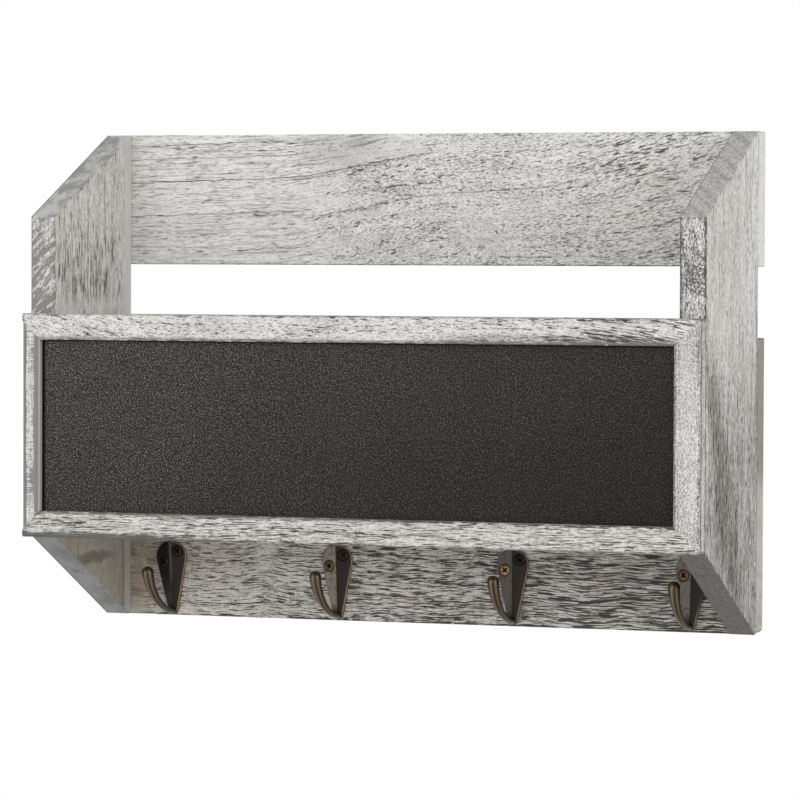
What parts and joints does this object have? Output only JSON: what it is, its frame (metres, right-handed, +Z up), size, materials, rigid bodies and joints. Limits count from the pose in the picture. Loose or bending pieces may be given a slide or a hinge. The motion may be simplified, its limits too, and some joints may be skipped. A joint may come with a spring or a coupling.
{
  "type": "wall mail organizer",
  "caption": "Whitewashed wood wall mail holder with an open bin behind a chalkboard front and a row of key hooks below.",
  "frame": {"origin": "on the wall plane, midway between the side panels, at the middle of the upper back board's height", "axes": "+X along the width to the right as seen from the room, +Y into the wall, +Z up"},
  "size_m": [0.321, 0.1105, 0.229],
  "materials": {
    "board_wood": "whitewashed, open grey grain, matte",
    "frame_wood": "whitewashed, rubbed edges, matte",
    "chalkboard": "black chalk film with a fine grain",
    "antique_bronze": "dark antique bronze, rubbed at the edges",
    "screw_brass": "aged brass",
    "nail_steel": "plain steel"
  },
  "bodies": {
    "root": {"side_panel_left": "board_wood", "side_panel_right": "board_wood", "upper_back_board": "board_wood", "lower_back_board": "board_wood", "bin_floor": "board_wood", "frame_top_rail": "frame_wood", "frame_bottom_rail": "frame_wood", "frame_left_stile": "frame_wood", "frame_right_stile": "frame_wood", "chalkboard_panel": "chalkboard", "hook_1": "antique_bronze", "hook_2": "antique_bronze", "hook_3": "antique_bronze", "hook_4": "antique_bronze", "hook_screws": "screw_brass", "upper_board_nails": "nail_steel", "lower_board_nails": "nail_steel", "floor_nails": "nail_steel", "frame_v_nails": "nail_steel"}
  },
  "joints": []
}
